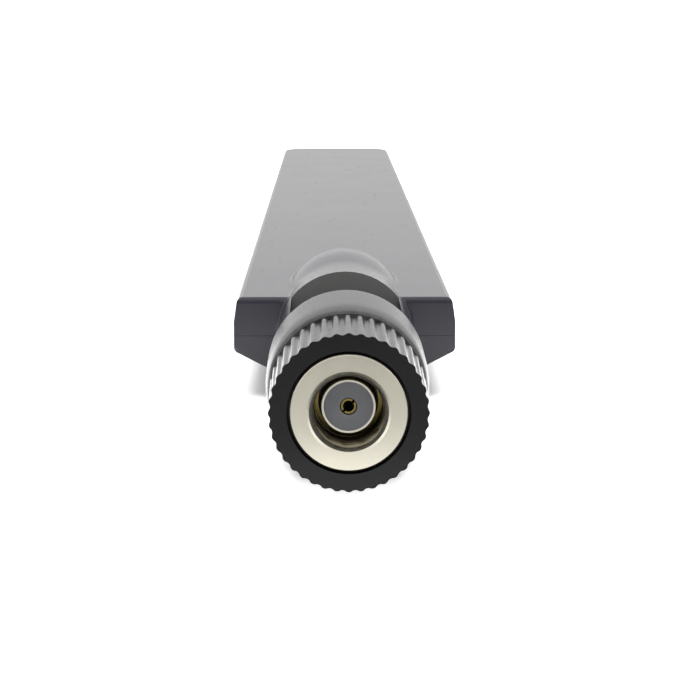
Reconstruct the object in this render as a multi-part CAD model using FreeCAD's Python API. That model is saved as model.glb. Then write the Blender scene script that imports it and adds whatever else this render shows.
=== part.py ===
import FreeCAD, Part
import math
import os

# Hinged blade antenna with a reverse-polarity SMA plug, in millimetres.
#
# The plug's axis is the Y axis, and the blade points along +Y. X is the blade's width and Z its
# thickness. The origin is the mouth of the centre contact, on the plug's axis, so the coupling
# nut reaches forward of it, to negative Y. The antenna lies on the round swivel collar and on
# the blade's tip.

# ---- coupling nut and its thumb sleeve
NUT_FRONT_Y = -3.0
NUT_REAR_Y = 6.5
NUT_R = 4.9
NUT_MOUTH_R = 3.45
LEAD_IN_R = 3.28             # behind the mouth's narrow chamfer
LEAD_IN_Y = -2.83
LEAD_IN_END_Y = -1.95
THREAD_CREST_R = 2.87        # 1/4-36 UNS inside thread, as a plain bore at its crests
THREAD_ROOT_R = 3.175
THREAD_RELIEF_Y = -0.35      # groove that parts the thread into a front and a rear stretch
THREAD_RELIEF_WIDTH = 0.65
CHAMBER_Y = 1.6
CHAMBER_R = 3.35             # room for the gasket and the flange
CHAMBER_END_Y = 4.8
NUT_LIP_R = 2.78             # rear lip, running on the barrel
NUT_EDGE = 0.12              # broken edge of the nut's front face

SLEEVE_REAR_Y = 6.1
SLEEVE_TIP_FRONT_R = 6.64    # knurl ridges at the front face
SLEEVE_TIP_REAR_R = 6.73
SLEEVE_ROOT_FRONT_R = 6.48   # the flutes deepen to the rear
SLEEVE_ROOT_REAR_R = 6.5
KNURL_RIDGES = 40
RIDGE_SHARE = 0.5            # share of the pitch that the ridge's crown takes
SLEEVE_RELIEF_R = 5.12       # open ring round the nut at the front
SLEEVE_RELIEF_DEPTH = 2.2

# ---- plug
RING_FACE_Y = -0.15          # mating face of the outer conductor
RING_R = 2.295
RING_BORE_R = 2.08
RING_LIP = 0.05              # broken edge of the ring
FLANGE_Y = 2.4
FLANGE_END_Y = 3.4
FLANGE_R = 3.05
BARREL_R = 2.7
BARREL_END_Y = 12.2
BARREL_BORE_R = 1.5
BARREL_BORE_Y = 3.0
BARREL_BORE_END_Y = 11.8
TAIL_R = 1.05
TAIL_END_Y = 15.2
NUT_CLIP_Y = 5.0             # groove of the ring that holds the nut
NUT_CLIP_WIDTH = 0.6
NUT_CLIP_GROOVE_R = 2.35
NUT_CLIP_SEAT_R = 3.12
RETAINER_Y = 10.8            # groove of the ring that holds the swivel
RETAINER_WIDTH = 0.6
RETAINER_GROOVE_R = 2.3
RETAINER_R = 4.0
CLIP_PLAY = 0.05
CLIP_OPENING = 1.2           # cut through each split ring
GASKET_R = 2.52
GASKET_LENGTH = 0.5

CONTACT_R = 0.635
CONTACT_BORE_R = 0.47
CONTACT_BORE_DEPTH = 3.0
CONTACT_SLOT = 0.22
CONTACT_SLOT_DEPTH = 2.4
CONTACT_SLOT_TURN = 45       # the slot's lie about the axis, in degrees
CONTACT_REAR_Y = 12.0
CONTACT_HOLE_R = 0.727       # hole round the contact in the insulator's face
CONTACT_HOLE_DEPTH = 2.7

# ---- swivel
COLLAR_R = 7.17
COLLAR_FRONT_Y = 6.9
COLLAR_REAR_Y = 18.0
COLLAR_FRONT_R = 6.7         # the front is a long soft round, from here out to COLLAR_R
COLLAR_ROUND_LENGTH = 3.5
COLLAR_REAR_ROUND = 0.15
COLLAR_BORE_R = 2.76
COLLAR_WALL = 3.2
COLLAR_CAVITY_R = 5.4
WASHER_R = 4.9
WASHER_BORE_R = 2.85
WASHER_THICK = 0.25
WASHER_RISE = 0.35

# ---- hinge
PIN_Y = 28.0
PIN_R = 1.5
PIN_INNER_X = 2.3
PIN_OUTER_X = 6.35
PIN_PLAY = 0.05
PIN_EDGE = 0.2
SLOT_HALF = 5.25             # fork slot, half its width
KNUCKLE_HALF = 5.1
KNUCKLE_STOP = 5.8           # from the pin's axis to the heel and to the stop ridge
KNUCKLE_R = 4.6              # from the pin's axis to the top and to the underside
KNUCKLE_CROWN_END = 50       # degrees about the pin, 0 to the rear: the round top ends here
KNUCKLE_NOSE_START = 20      # and the heel's round nose starts here
KNUCKLE_HEEL_Z = -3.0        # the square heel, which stops the blade when it lies flat
KNUCKLE_RIDGE_END_Y = 22.8   # the ridge behind the collar, which stops the blade upright
KNUCKLE_NECK_R = 6.55        # the tongue's corners are round, more so behind the ridge
KNUCKLE_TRIM_R = 5.9
KNUCKLE_DISC_Y = 16.8
KNUCKLE_NECK_Y = 17.8        # where the tongue starts, inside the disc
PIN_HOLE_ROOM = 0.2          # past the pin's inner end
CHANNEL_HALF = 1.6           # open channel for the cable through the knuckle
CHANNEL_FRONT_Y = 22.0
CABLE_HOLE_R = 1.35
SLOT_FLOOR_Y = 34.0
BOSS_R = 6.65

# ---- blade
SHOULDER_Y = 38.5
BLADE_TIP_Y = 224.0
BLADE_HALF_FRONT = 11.1
BLADE_HALF_TIP = 9.5
BLADE_TOP_Z = 3.4
BLADE_SIDE_TOP_Z = 1.0       # the side leans in above this
BLADE_SIDE_LEAN = 0.35
BLADE_SIDE_LOW_Z = -2.0
BLADE_BOTTOM_Z = -5.0
BLADE_BOTTOM_IN = 5.9        # how far the underside's flat is inside the widest line
TIP_CORNER_R = 4.0
BLADE_EDGE_R = 0.6
BOSS_REAR_Y = 41.0           # the boss narrows a little up to here
BOSS_REAR_R = 6.38
VALLEY_Y = 43.2
VALLEY_R = 6.24
HUMP_Y = 47.0
HUMP_R = 6.42
HUMP_END_Y = 88.0
HUMP_END_R = 2.9
BOSS_FILLET = 0.55
WALL = 1.4
CAVITY_FRONT_Y = 41.5
CAVITY_REAR_GAP = 1.8
COVER_FRONT_Y = 60.0
COVER_REAR_GAP = 5.5
COVER_SEAM = 0.08
COVER_LIP = 0.8
COVER_LIP_HEIGHT = 1.2
COVER_LIP_GAP = 0.5          # from the lip's ends to the cover's
COVER_LIP_ROOM = 0.15        # from the lip to the board's edge

# ---- radiator
BOARD_TOP_Z = -1.05
BOARD_THICK = 0.8
BOARD_HALF = 6.5
BOARD_FRONT_Y = 60.0
BOARD_REAR_Y = 206.0
BOARD_CORNER_R = 1.0
COPPER = 0.05
COPPER_GAP = 0.01
ELEMENT_LENGTH = 24.0
ELEMENT_HALF = 4.6
ELEMENTS = 5
LINE_HALF = 0.6
FIRST_ELEMENT_Y = 71.5
LAST_ELEMENT_END_Y = 204.0
FEED_Y = 67.0                # where the line from the cable's inner wire starts
PAD_START_Y = 60.8           # solder pads for the cable's braid
PAD_END_Y = 65.0
PAD_INNER_X = 1.3
PAD_OUTER_X = 4.0
BRAID_SOLDER_X = 1.45
BRAID_SOLDER_Y = 61.9
BRAID_SOLDER_R = 1.0
BRAID_SOLDER_START_Y = 60.9
WIRE_SOLDER_Y = 68.0
WIRE_SOLDER_R = 0.8
FOAM_LENGTH = 12.0
FOAM_HALF = 5.0
FOAM_YS = (98.0, 170.0)
RIB_THICK = 1.0
RIBS = 5
FIRST_RIB_Y = 75.0
LAST_RIB_Y = 194.0

# ---- cable
JACKET_R = 1.25
BRAID_R = 0.95
DIELECTRIC_R = 0.76
CONDUCTOR_R = 0.26
FIT = 0.02                   # play between the cable and what it runs through
JACKET_START_Y = 15.95
JACKET_END_Y = 58.0
BRAID_OVER_TAIL_Y = 12.4
BRAID_END_Y = 63.0
DIELECTRIC_START_Y = 12.02
DIELECTRIC_END_Y = 65.0
CONDUCTOR_START_Y = 10.5
CONDUCTOR_END_Y = 68.5
CONDUCTOR_BEND_Y = 65.3
CONDUCTOR_BEND_R = 1.2
FERRULE_R = 1.7
FERRULE_START_Y = 12.35
FERRULE_END_Y = 16.5
FERRULE_EDGE = 0.1

# ---- working room
PAST = 1.0                   # how far a cutting shape reaches past what it cuts
BEYOND = 20.0                # outside the blade on every side
CORNER_REACH = 0.1           # past the boss, when the edges of its corner are picked out
SAME = 1e-3                  # two places closer than this are one
EDGE_SPOTS = (0.02, 0.5, 0.98)

X = FreeCAD.Vector(1, 0, 0)
Y = FreeCAD.Vector(0, 1, 0)
HERE = FreeCAD.Vector(0, 0, 0)


def turned(outline):
    """Solid of revolution about the plug's axis. outline is (radius, y) corners in order."""
    corners = [FreeCAD.Vector(r, y, 0) for r, y in outline]
    face = Part.Face(Part.makePolygon(corners + corners[:1]))
    return face.revolve(HERE, Y, 360)


def smooth_turned(start, profile, end):
    """Solid of revolution whose side is one smooth curve through profile, closed to the axis."""
    curve = Part.BSplineCurve()
    curve.interpolate([FreeCAD.Vector(r, y, 0) for r, y in profile])
    first, last = curve.value(curve.FirstParameter), curve.value(curve.LastParameter)
    low, high = FreeCAD.Vector(0, start, 0), FreeCAD.Vector(0, end, 0)
    edges = [Part.makeLine(low, first), curve.toShape(), Part.makeLine(last, high), Part.makeLine(high, low)]
    return Part.Face(Part.Wire(edges)).revolve(HERE, Y, 360)


def rod(radius, start, end):
    """Round bar along Y."""
    return Part.makeCylinder(radius, end - start, FreeCAD.Vector(0, start, 0), Y)


def tube(outer, inner, start, end):
    return rod(outer, start, end).cut(rod(inner, start, end))


def cone(r1, r2, start, end):
    return Part.makeCone(r1, r2, end - start, FreeCAD.Vector(0, start, 0), Y)


def block(x0, x1, y0, y1, z0, z1):
    return Part.makeBox(x1 - x0, y1 - y0, z1 - z0, FreeCAD.Vector(x0, y0, z0))


def edges_where(shape, test):
    """Edges whose whole length passes test, judged at both ends and in the middle."""
    kept = []
    for edge in shape.Edges:
        first, last = edge.FirstParameter, edge.LastParameter
        spots = [edge.valueAt(first + (last - first) * t) for t in EDGE_SPOTS]
        if all(test(spot) for spot in spots):
            kept.append(edge)
    return kept


def near(value, target):
    return abs(value - target) < SAME


# ---- coupling nut and thumb sleeve

def coupling_nut():
    relief_end = THREAD_RELIEF_Y + THREAD_RELIEF_WIDTH
    bore = [(NUT_MOUTH_R, NUT_FRONT_Y), (LEAD_IN_R, LEAD_IN_Y), (THREAD_CREST_R, LEAD_IN_END_Y)]
    bore += [(THREAD_CREST_R, THREAD_RELIEF_Y), (THREAD_ROOT_R, THREAD_RELIEF_Y)]
    bore += [(THREAD_ROOT_R, relief_end), (THREAD_CREST_R, relief_end)]
    bore += [(THREAD_CREST_R, CHAMBER_Y), (CHAMBER_R, CHAMBER_Y)]
    bore += [(CHAMBER_R, CHAMBER_END_Y), (NUT_LIP_R, CHAMBER_END_Y)]
    bore += [(NUT_LIP_R, NUT_CLIP_Y), (NUT_CLIP_SEAT_R, NUT_CLIP_Y)]
    bore += [(NUT_CLIP_SEAT_R, NUT_CLIP_Y + NUT_CLIP_WIDTH), (NUT_LIP_R, NUT_CLIP_Y + NUT_CLIP_WIDTH)]
    bore += [(NUT_LIP_R, NUT_REAR_Y)]
    outside = [(NUT_R, NUT_REAR_Y), (NUT_R, NUT_FRONT_Y + NUT_EDGE), (NUT_R - NUT_EDGE, NUT_FRONT_Y)]
    return turned(bore + outside)


def knurl_wire(tip, root, y):
    """Closed outline of the knurl: a round crown on each ridge and a round flute between."""
    pitch = 2 * math.pi / KNURL_RIDGES
    crown = pitch * RIDGE_SHARE
    middle = (tip + root) / 2

    def spot(radius, angle):
        return FreeCAD.Vector(radius * math.sin(angle), y, radius * math.cos(angle))

    edges = []
    for ridge in range(KNURL_RIDGES):
        at = ridge * pitch
        left, right, after = at - crown / 2, at + crown / 2, at + pitch - crown / 2
        edges.append(Part.Arc(spot(middle, left), spot(tip, at), spot(middle, right)).toShape())
        valley = spot(root, at + pitch / 2)
        edges.append(Part.Arc(spot(middle, right), valley, spot(middle, after)).toShape())
    return Part.Wire(edges)


def knurled_sleeve():
    front = knurl_wire(SLEEVE_TIP_FRONT_R, SLEEVE_ROOT_FRONT_R, NUT_FRONT_Y)
    rear = knurl_wire(SLEEVE_TIP_REAR_R, SLEEVE_ROOT_REAR_R, SLEEVE_REAR_Y)
    body = Part.makeLoft([front, rear], True, True)
    body = body.cut(rod(NUT_R, NUT_FRONT_Y - PAST, SLEEVE_REAR_Y + PAST))
    relief = rod(SLEEVE_RELIEF_R, NUT_FRONT_Y - PAST, NUT_FRONT_Y + SLEEVE_RELIEF_DEPTH)
    return body.cut(relief)


# ---- plug

def plug_body():
    outline = [(RING_BORE_R, RING_FACE_Y), (RING_R - RING_LIP, RING_FACE_Y)]
    outline += [(RING_R, RING_FACE_Y + RING_LIP), (RING_R, FLANGE_Y), (FLANGE_R, FLANGE_Y)]
    outline += [(FLANGE_R, FLANGE_END_Y), (BARREL_R, FLANGE_END_Y)]
    grooves = (
        (NUT_CLIP_Y, NUT_CLIP_WIDTH, NUT_CLIP_GROOVE_R),
        (RETAINER_Y, RETAINER_WIDTH, RETAINER_GROOVE_R),
    )
    for start, width, radius in grooves:
        outline += [(BARREL_R, start), (radius, start), (radius, start + width), (BARREL_R, start + width)]
    outline += [(BARREL_R, BARREL_END_Y), (TAIL_R, BARREL_END_Y), (TAIL_R, TAIL_END_Y)]
    core = DIELECTRIC_R + FIT
    outline += [(core, TAIL_END_Y), (core, BARREL_BORE_END_Y), (BARREL_BORE_R, BARREL_BORE_END_Y)]
    outline += [(BARREL_BORE_R, BARREL_BORE_Y), (RING_BORE_R, BARREL_BORE_Y)]
    return turned(outline)


def insulator():
    outline = [(CONTACT_HOLE_R, RING_FACE_Y), (RING_BORE_R, RING_FACE_Y), (RING_BORE_R, BARREL_BORE_Y)]
    outline += [(BARREL_BORE_R, BARREL_BORE_Y), (BARREL_BORE_R, BARREL_BORE_END_Y)]
    outline += [(CONTACT_R, BARREL_BORE_END_Y), (CONTACT_R, CONTACT_HOLE_DEPTH)]
    outline += [(CONTACT_HOLE_R, CONTACT_HOLE_DEPTH)]
    return turned(outline)


def centre_contact():
    body = rod(CONTACT_R, 0, CONTACT_REAR_Y)
    body = body.cut(rod(CONTACT_BORE_R, -PAST, CONTACT_BORE_DEPTH))
    body = body.cut(rod(CONDUCTOR_R + FIT, CONDUCTOR_START_Y, CONTACT_REAR_Y + PAST))
    half = CONTACT_SLOT / 2
    slot = block(-half, half, -PAST, CONTACT_SLOT_DEPTH, -2 * CONTACT_R, 2 * CONTACT_R)
    slot.rotate(HERE, Y, CONTACT_SLOT_TURN)
    return body.cut(slot)


def gasket():
    return tube(GASKET_R, RING_R, FLANGE_Y - GASKET_LENGTH, FLANGE_Y)


def split_ring(groove_r, outer_r, start, width):
    """Retaining ring in a groove, cut open at one side."""
    ring = tube(outer_r, groove_r + FIT, start + CLIP_PLAY, start + width - CLIP_PLAY)
    half = CLIP_OPENING / 2
    return ring.cut(block(-half, half, start - PAST, start + width + PAST, 0, 2 * outer_r))


def nut_clip():
    return split_ring(NUT_CLIP_GROOVE_R, NUT_CLIP_SEAT_R - CLIP_PLAY, NUT_CLIP_Y, NUT_CLIP_WIDTH)


def swivel_retainer():
    return split_ring(RETAINER_GROOVE_R, RETAINER_R, RETAINER_Y, RETAINER_WIDTH)


def crimp_ferrule():
    inner = JACKET_R + FIT
    rim = FERRULE_R - FERRULE_EDGE
    outline = [(inner, FERRULE_START_Y), (rim, FERRULE_START_Y)]
    outline += [(FERRULE_R, FERRULE_START_Y + FERRULE_EDGE), (FERRULE_R, FERRULE_END_Y - FERRULE_EDGE)]
    outline += [(rim, FERRULE_END_Y), (inner, FERRULE_END_Y)]
    return turned(outline)


# ---- swivel

def spring_washer():
    """Dished washer between the collar's front wall and the retaining ring."""
    flat = COLLAR_FRONT_Y + COLLAR_WALL + CLIP_PLAY
    outline = [(WASHER_BORE_R, flat + WASHER_RISE), (WASHER_R, flat)]
    outline += [(WASHER_R, flat + WASHER_THICK), (WASHER_BORE_R, flat + WASHER_RISE + WASHER_THICK)]
    return turned(outline)


def swivel_collar():
    """Round housing of the swivel. Its front is a quarter ellipse, long along the axis."""
    round_end = COLLAR_FRONT_Y + COLLAR_ROUND_LENGTH
    profile = []
    for degrees in (0, 20, 40, 60, 75, 90):
        turn = math.radians(degrees)
        radius = COLLAR_FRONT_R + (COLLAR_R - COLLAR_FRONT_R) * math.sin(turn)
        profile.append((radius, round_end - COLLAR_ROUND_LENGTH * math.cos(turn)))
    body = smooth_turned(COLLAR_FRONT_Y, profile, round_end)
    body = body.fuse(rod(COLLAR_R, round_end, COLLAR_REAR_Y)).removeSplitter()
    rear = edges_where(body, lambda p: near(p.y, COLLAR_REAR_Y))
    body = body.makeFillet(COLLAR_REAR_ROUND, rear)
    body = body.cut(rod(COLLAR_BORE_R, COLLAR_FRONT_Y - PAST, COLLAR_REAR_Y + PAST))
    return body.cut(rod(COLLAR_CAVITY_R, COLLAR_FRONT_Y + COLLAR_WALL, COLLAR_REAR_Y + PAST))


def about_pin(radius, degrees):
    """A point round the pin, in side view. 0 degrees is to the rear and 90 up."""
    turn = math.radians(degrees)
    return FreeCAD.Vector(0, PIN_Y + radius * math.cos(turn), radius * math.sin(turn))


def arc_about_pin(radius, start, end):
    spots = [about_pin(radius, degrees) for degrees in (start, (start + end) / 2, end)]
    return Part.Arc(*spots).toShape()


def knuckle_side():
    """Side view of the tongue: a stop ridge in front, round above the pin, a square heel below it."""
    ridge_start = FreeCAD.Vector(0, KNUCKLE_NECK_Y, KNUCKLE_STOP)
    ridge_end = FreeCAD.Vector(0, KNUCKLE_RIDGE_END_Y, KNUCKLE_STOP)
    step = FreeCAD.Vector(0, KNUCKLE_RIDGE_END_Y, KNUCKLE_R)
    heel = FreeCAD.Vector(0, PIN_Y + KNUCKLE_STOP, KNUCKLE_HEEL_Z)
    neck_low = FreeCAD.Vector(0, KNUCKLE_NECK_Y, -KNUCKLE_R)
    edges = [Part.makeLine(ridge_start, ridge_end)]
    edges.append(Part.makeLine(ridge_end, step))
    edges.append(Part.makeLine(step, about_pin(KNUCKLE_R, 90)))
    edges.append(arc_about_pin(KNUCKLE_R, 90, KNUCKLE_CROWN_END))
    nose = about_pin(KNUCKLE_STOP, KNUCKLE_NOSE_START)
    edges.append(Part.makeLine(about_pin(KNUCKLE_R, KNUCKLE_CROWN_END), nose))
    edges.append(arc_about_pin(KNUCKLE_STOP, KNUCKLE_NOSE_START, 0))
    edges.append(Part.makeLine(about_pin(KNUCKLE_STOP, 0), heel))
    edges.append(Part.makeLine(heel, about_pin(KNUCKLE_R, -KNUCKLE_CROWN_END)))
    edges.append(arc_about_pin(KNUCKLE_R, -KNUCKLE_CROWN_END, -90))
    edges.append(Part.makeLine(about_pin(KNUCKLE_R, -90), neck_low))
    edges.append(Part.makeLine(neck_low, ridge_start))
    return Part.Wire(edges)


def hinge_knuckle():
    side = Part.Face(knuckle_side())
    side.translate(FreeCAD.Vector(-KNUCKLE_HALF, 0, 0))
    tongue = side.extrude(FreeCAD.Vector(2 * KNUCKLE_HALF, 0, 0))
    neck = rod(KNUCKLE_NECK_R, COLLAR_REAR_Y, KNUCKLE_RIDGE_END_Y)
    tongue = tongue.common(neck.fuse(rod(KNUCKLE_TRIM_R, KNUCKLE_RIDGE_END_Y, PIN_Y + 2 * KNUCKLE_STOP)))
    body = tongue.fuse(rod(COLLAR_CAVITY_R, KNUCKLE_DISC_Y, COLLAR_REAR_Y)).removeSplitter()
    body = body.cut(rod(CABLE_HOLE_R, KNUCKLE_DISC_Y - PAST, CHANNEL_FRONT_Y + PAST))
    channel = block(
        -CHANNEL_HALF, CHANNEL_HALF,
        CHANNEL_FRONT_Y, PIN_Y + 2 * KNUCKLE_STOP,
        -CHANNEL_HALF, 2 * KNUCKLE_STOP,
    )
    body = body.cut(channel)
    for side_x in (-1, 1):
        start = FreeCAD.Vector(side_x * (PIN_INNER_X - PIN_HOLE_ROOM), PIN_Y, 0)
        hole = Part.makeCylinder(PIN_R + PIN_PLAY, KNUCKLE_HALF, start, X * side_x)
        body = body.cut(hole)
    return body


def hinge_pins():
    pins = []
    for side_x in (-1, 1):
        start = FreeCAD.Vector(side_x * PIN_INNER_X, PIN_Y, 0)
        pin = Part.makeCylinder(PIN_R, PIN_OUTER_X - PIN_INNER_X, start, X * side_x)
        ends = edges_where(pin, lambda p: near(abs(p.x), PIN_OUTER_X))
        pins.append(pin.makeChamfer(PIN_EDGE, ends))
    return Part.makeCompound(pins)


# ---- blade

def blade_section(half, inset=0.0):
    """Corners of the blade's cross-section, widest half-width first, inset evenly all round."""
    low = half - BLADE_BOTTOM_IN
    slant = math.hypot(BLADE_BOTTOM_IN, BLADE_SIDE_LOW_Z - BLADE_BOTTOM_Z)
    drop = BLADE_SIDE_LOW_Z - BLADE_BOTTOM_Z
    # where the inset slanted face meets the inset side and the inset underside
    side_low = BLADE_SIDE_LOW_Z + inset * (slant - drop) / BLADE_BOTTOM_IN
    bottom_in = inset * (slant - BLADE_BOTTOM_IN) / drop
    right = [
        (half - BLADE_SIDE_LEAN - inset, BLADE_TOP_Z - inset),
        (half - inset, BLADE_SIDE_TOP_Z),
        (half - inset, side_low),
        (low - bottom_in, BLADE_BOTTOM_Z + inset),
    ]
    left = [(-x, z) for x, z in reversed(right)]
    return right + left


def blade_prism(start, end, inset=0.0):
    """Tapered blade between two stations, inset evenly from the outside."""
    slope = (BLADE_HALF_TIP - BLADE_HALF_FRONT) / (BLADE_TIP_Y - SHOULDER_Y)
    wires = []
    for y in (start, end):
        half = BLADE_HALF_FRONT + slope * (y - SHOULDER_Y)
        corners = [FreeCAD.Vector(x, y, z) for x, z in blade_section(half, inset)]
        wires.append(Part.makePolygon(corners + corners[:1]))
    return Part.makeLoft(wires, True, True)


def rounded_blade():
    body = blade_prism(SHOULDER_Y, BLADE_TIP_Y)
    inside_x = BLADE_HALF_TIP - 2 * BLADE_SIDE_LEAN
    tip_corners = edges_where(body, lambda p: near(p.y, BLADE_TIP_Y) and abs(p.x) > inside_x)
    body = body.makeFillet(TIP_CORNER_R, tip_corners)
    top_rim = edges_where(body, lambda p: near(p.z, BLADE_TOP_Z))
    low_sides = edges_where(body, lambda p: near(p.z, BLADE_SIDE_LOW_Z))
    return body.makeFillet(BLADE_EDGE_R, top_rim + low_sides)


def boss_and_hump():
    """Round boss behind the fork, a shallow valley, and the long hump that dies into the blade."""
    boss = cone(BOSS_R, BOSS_REAR_R, SLOT_FLOOR_Y, BOSS_REAR_Y)
    middle_y = (HUMP_Y + HUMP_END_Y) / 2
    middle_r = (HUMP_R + HUMP_END_R) / 2
    profile = [(BOSS_REAR_R, BOSS_REAR_Y), (VALLEY_R, VALLEY_Y), (HUMP_R, HUMP_Y)]
    profile += [(middle_r, middle_y), (HUMP_END_R, HUMP_END_Y)]
    return boss.fuse(smooth_turned(BOSS_REAR_Y, profile, HUMP_END_Y))


def fork_ears():
    ears = rod(BOSS_R, PIN_Y - BOSS_R, SLOT_FLOOR_Y)
    round_end = Part.makeCylinder(BOSS_R, 4 * BOSS_R, FreeCAD.Vector(-2 * BOSS_R, PIN_Y, 0), X)
    behind = block(-2 * BOSS_R, 2 * BOSS_R, PIN_Y, SLOT_FLOOR_Y, -2 * BOSS_R, 2 * BOSS_R)
    ears = ears.common(round_end.fuse(behind))
    return ears.cut(block(-SLOT_HALF, SLOT_HALF, 0, SLOT_FLOOR_Y, -2 * BOSS_R, 2 * BOSS_R))


def blade_outside():
    body = rounded_blade().fuse([boss_and_hump(), fork_ears()]).removeSplitter()
    on_shoulder = edges_where(body, lambda p: near(p.y, SHOULDER_Y) and BLADE_BOTTOM_Z < p.z < BLADE_TOP_Z)
    corner = [edge for edge in on_shoulder if abs(edge.CenterOfMass.x) < BOSS_R + CORNER_REACH]
    return body.makeFillet(BOSS_FILLET, corner)


def blade_inside():
    cavity = blade_prism(CAVITY_FRONT_Y, BLADE_TIP_Y - CAVITY_REAR_GAP, WALL)
    core = cone(VALLEY_R - WALL, HUMP_END_R - WALL, VALLEY_Y + WALL, HUMP_END_Y)
    return cavity.fuse(core)


def blade_hollow():
    body = blade_outside().cut(blade_inside())
    body = body.cut(rod(CABLE_HOLE_R, SLOT_FLOOR_Y - PAST, CAVITY_FRONT_Y + PAST))
    pin_hole = Part.makeCylinder(PIN_R, 4 * BOSS_R, FreeCAD.Vector(-2 * BOSS_R, PIN_Y, 0), X)
    return body.cut(pin_hole)


def cover_region(grow):
    """Space of the underside panel, from the slanted sides down. grow widens it for the seam."""
    return block(
        -BEYOND, BEYOND,
        COVER_FRONT_Y - grow, BLADE_TIP_Y - COVER_REAR_GAP + grow,
        -BEYOND, BLADE_SIDE_LOW_Z + grow,
    )


def blade_body():
    return blade_hollow().cut(cover_region(COVER_SEAM))


def blade_cover():
    panel = blade_hollow().common(cover_region(0))
    start = COVER_FRONT_Y + COVER_LIP_GAP
    end = BLADE_TIP_Y - COVER_REAR_GAP - COVER_LIP_GAP
    lip = blade_prism(start, end, WALL)
    lip = lip.cut(blade_prism(start + COVER_LIP, end - COVER_LIP, WALL + COVER_LIP))
    lip_top = BLADE_SIDE_LOW_Z + COVER_LIP_HEIGHT
    low = BLADE_SIDE_LOW_Z - PAST
    lip = lip.common(block(-BEYOND, BEYOND, start, end, low, lip_top))
    board_room = BOARD_HALF + COVER_LIP_ROOM
    lip = lip.cut(block(-board_room, board_room, start - PAST, end + PAST, low, lip_top + PAST))
    ribs = []
    step = (LAST_RIB_Y - FIRST_RIB_Y) / (RIBS - 1)
    inside = blade_prism(start, end, WALL)
    board_bottom = BOARD_TOP_Z - BOARD_THICK - COPPER
    for rib in range(RIBS):
        y = FIRST_RIB_Y + rib * step
        ribs.append(inside.common(block(-BEYOND, BEYOND, y, y + RIB_THICK, -BEYOND, board_bottom)))
    return panel.fuse([lip] + ribs).removeSplitter()


# ---- radiator

def circuit_board():
    low = BOARD_TOP_Z - BOARD_THICK
    middle_y = (BOARD_FRONT_Y + BOARD_REAR_Y) / 2
    half_length = (BOARD_REAR_Y - BOARD_FRONT_Y) / 2
    board = block(-BOARD_HALF, BOARD_HALF, BOARD_FRONT_Y, BOARD_REAR_Y, low, BOARD_TOP_Z)
    corners = edges_where(
        board,
        lambda p: near(abs(p.x), BOARD_HALF) and near(abs(p.y - middle_y), half_length),
    )
    return board.makeFillet(BOARD_CORNER_R, corners)


def trace(x0, x1, y0, y1, top):
    """Copper on the board's upper or lower face."""
    if top:
        return block(x0, x1, y0, y1, BOARD_TOP_Z, BOARD_TOP_Z + COPPER)
    low = BOARD_TOP_Z - BOARD_THICK
    return block(x0, x1, y0, y1, low - COPPER, low)


def elements(top):
    """Stacked half-wave elements. Wide element and narrow line swap faces at each half wave."""
    step = (LAST_ELEMENT_END_Y - FIRST_ELEMENT_Y) / ELEMENTS
    pieces = []
    for number in range(ELEMENTS):
        start = FIRST_ELEMENT_Y + number * step
        end = start + step
        if (number % 2 == 0) == top:
            wide_end = start + ELEMENT_LENGTH
            pieces.append(trace(-ELEMENT_HALF, ELEMENT_HALF, start, wide_end, top))
            if number + 1 < ELEMENTS:
                pieces.append(trace(-LINE_HALF, LINE_HALF, wide_end, end, top))
        else:
            pieces.append(trace(-LINE_HALF, LINE_HALF, start, end, top))
    return pieces


def copper_front():
    pieces = elements(True)
    pieces.append(trace(-LINE_HALF, LINE_HALF, FEED_Y, FIRST_ELEMENT_Y, True))
    pieces.append(trace(PAD_INNER_X, PAD_OUTER_X, PAD_START_Y, PAD_END_Y, True))
    pieces.append(trace(-PAD_OUTER_X, -PAD_INNER_X, PAD_START_Y, PAD_END_Y, True))
    return pieces[0].fuse(pieces[1:]).removeSplitter()


def copper_back():
    pieces = elements(False)
    pieces.append(trace(-PAD_OUTER_X, PAD_OUTER_X, PAD_START_Y, FIRST_ELEMENT_Y, False))
    return pieces[0].fuse(pieces[1:]).removeSplitter()


def bead(radius, x, y, start, end):
    """Half a ball of solder on the board's upper face, trimmed between two stations."""
    top = BOARD_TOP_Z + COPPER
    ball = Part.makeSphere(radius, FreeCAD.Vector(x, y, top))
    return ball.common(block(-BOARD_HALF, BOARD_HALF, start, end, top, top + radius))


def solder_joints():
    """Two fillets along the cable's braid and one bead on its inner wire."""
    keep_off = rod(BRAID_R + FIT, BOARD_FRONT_Y, BRAID_END_Y + PAST)
    joints = []
    for x in (-BRAID_SOLDER_X, BRAID_SOLDER_X):
        fillet = bead(BRAID_SOLDER_R, x, BRAID_SOLDER_Y, BRAID_SOLDER_START_Y, BRAID_END_Y)
        joints.append(fillet.cut(keep_off))
    wire = rod(CONDUCTOR_R + FIT, CONDUCTOR_BEND_Y, CONDUCTOR_END_Y)
    wire.translate(FreeCAD.Vector(0, 0, conductor_low_z()))
    drop = bead(WIRE_SOLDER_R, 0, WIRE_SOLDER_Y, BRAID_END_Y, CONDUCTOR_END_Y + PAST)
    joints.append(drop.cut(wire))
    return Part.makeCompound(joints)


def foam_pads():
    """Two blocks between the board and the blade's ceiling."""
    pads = []
    for y in FOAM_YS:
        low, high = BOARD_TOP_Z + COPPER, BLADE_TOP_Z - WALL
        pads.append(block(-FOAM_HALF, FOAM_HALF, y, y + FOAM_LENGTH, low, high))
    return Part.makeCompound(pads)


# ---- cable

def coax_jacket():
    return tube(JACKET_R, BRAID_R, JACKET_START_Y, JACKET_END_Y)


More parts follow.
